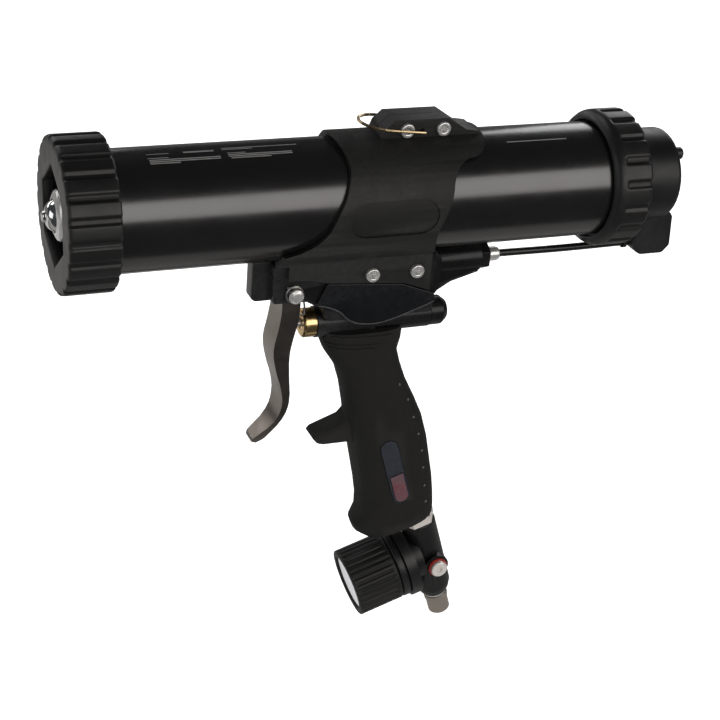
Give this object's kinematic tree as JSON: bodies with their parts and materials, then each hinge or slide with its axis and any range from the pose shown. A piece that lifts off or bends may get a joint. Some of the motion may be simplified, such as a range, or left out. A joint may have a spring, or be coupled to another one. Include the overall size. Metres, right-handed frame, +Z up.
{
  "type": "caulking gun",
  "caption": "Air-powered gun for sealant cartridges and sachets: barrel with screw caps and piston, trigger valve, pistol grip, pressure regulator and air hose.",
  "frame": {"origin": "centre of the bounding box's footprint, at the lowest point, the open end of the air inlet", "axes": "+X along the barrel towards its rear cap, so the front cap faces -X; +Z up, away from the grip; +Y across the gun, so the pictured left side faces -Y"},
  "size_m": [0.3438, 0.0762, 0.3115],
  "materials": {
    "barrel_black": "gloss black anodised",
    "cap_black": "moulded, satin",
    "rear_cap_black": "satin black anodised",
    "saddle_black": "fine moulded grain",
    "receiver_black": "gloss black anodised",
    "cover_black": "gloss",
    "grip_rubber": "soft-touch, fine grain",
    "knob_black": "fine ribs",
    "knob_disc": "satin anodised",
    "regulator_black": "semi-gloss black anodised",
    "trigger_nickel": "satin nickel plate",
    "steel": "bright turned",
    "chrome": "polished",
    "spring_steel": "drawn wire",
    "brass": "turned",
    "seal_black": "moulded",
    "washer_red": "gloss",
    "piston_aluminium": "turned",
    "badge_dark": "gloss",
    "badge_inlay": "gloss, greyed red",
    "hose_black": "extruded nylon"
  },
  "bodies": {
    "housing": {"barrel_tube": "barrel_black", "rear_ring": "cap_black", "rear_cap": "rear_cap_black", "rear_seal": "seal_black", "bleed_plug": "cap_black", "saddle_left": "saddle_black", "saddle_right": "saddle_black", "rail_screw_front": "steel", "rail_screw_rear": "steel", "rail_nut_front": "steel", "rail_nut_rear": "steel", "clamp_screw_front": "steel", "clamp_screw_rear": "steel", "clamp_nut_front": "steel", "clamp_nut_rear": "steel", "receiver": "receiver_black", "side_cover_left": "cover_black", "side_cover_right": "cover_black", "trigger_pin": "steel", "pin_clip": "spring_steel", "trigger_spring": "spring_steel", "valve_bush": "brass", "valve_spring": "spring_steel", "valve_plug": "receiver_black", "grip_sleeve": "grip_rubber", "grip_tube": "piston_aluminium", "badge_plate": "badge_dark", "badge_inlay": "badge_inlay", "grip_nut": "chrome", "regulator_body": "regulator_black", "bonnet_ring": "regulator_black", "regulator_spring": "spring_steel", "regulator_piston": "brass", "port_washer": "washer_red", "port_screw": "steel", "port_plug": "steel", "inlet_seal": "steel", "inlet_nipple": "steel", "hose_fitting": "receiver_black", "fitting_collet": "steel", "air_hose": "hose_black", "rear_collet": "seal_black"},
    "cap_carrier": {"front_gasket": "seal_black"},
    "cap": {"front_cap": "cap_black"},
    "piston": {"piston_body": "piston_aluminium", "piston_seal": "seal_black", "piston_washer": "steel", "piston_nut": "chrome"},
    "trigger": {"trigger": "trigger_nickel"},
    "valve": {"valve_stem": "steel", "valve_seal": "seal_black"},
    "loop": {"hang_loop": "brass"},
    "knob": {"regulator_knob": "knob_black", "knob_disc": "knob_disc", "regulator_spindle": "brass"},
    "plate": {"spring_plate": "steel"}
  },
  "joints": [
    {"name": "piston_slide", "type": "slide", "parent": "housing", "child": "piston", "axis": [1, 0, 0], "range_m": [0, 0.24]},
    {"name": "cap_travel", "type": "slide", "parent": "housing", "child": "cap_carrier", "axis": [-1, 0, 0], "range_m": [0, 0.009]},
    {"name": "cap_turn", "type": "hinge", "parent": "cap_carrier", "child": "cap", "pos_m": [-0.1666, 0, 0.2705], "axis": [-1, 0, 0], "range_deg": [0, 1080]},
    {"name": "trigger_pull", "type": "hinge", "parent": "housing", "child": "trigger", "pos_m": [-0.0483, 0, 0.22451], "axis": [0, -1, 0], "range_deg": [0, 8], "stiffness_Nm_per_rad": 1.5, "springref_deg": -8.59, "deforming": ["trigger_spring"]},
    {"name": "stem_slide", "type": "slide", "parent": "housing", "child": "valve", "axis": [1, 0, 0], "range_m": [0, 0.0034], "deforming": ["valve_spring"]},
    {"name": "loop_swing", "type": "hinge", "parent": "housing", "child": "loop", "pos_m": [0.0154, 0, 0.30551], "axis": [0, 1, 0], "range_deg": [0, 160]},
    {"name": "knob_turn", "type": "hinge", "parent": "housing", "child": "knob", "pos_m": [0.02664, 0, 0.03859], "axis": [-0.9521, 0, -0.3057], "range_deg": [0, 720]},
    {"name": "plate_travel", "type": "slide", "parent": "housing", "child": "plate", "axis": [0.9521, 0, 0.3057], "range_m": [0, 0.00205], "deforming": ["regulator_spring"]}
  ],
  "couplings": [
    {"joint": "cap_travel", "follows": "cap_turn", "m_per_rad": 0.00047746},
    {"joint": "stem_slide", "follows": "trigger_pull", "m_per_rad": 0.0235},
    {"joint": "plate_travel", "follows": "knob_turn", "m_per_rad": 0.00015915}
  ]
}
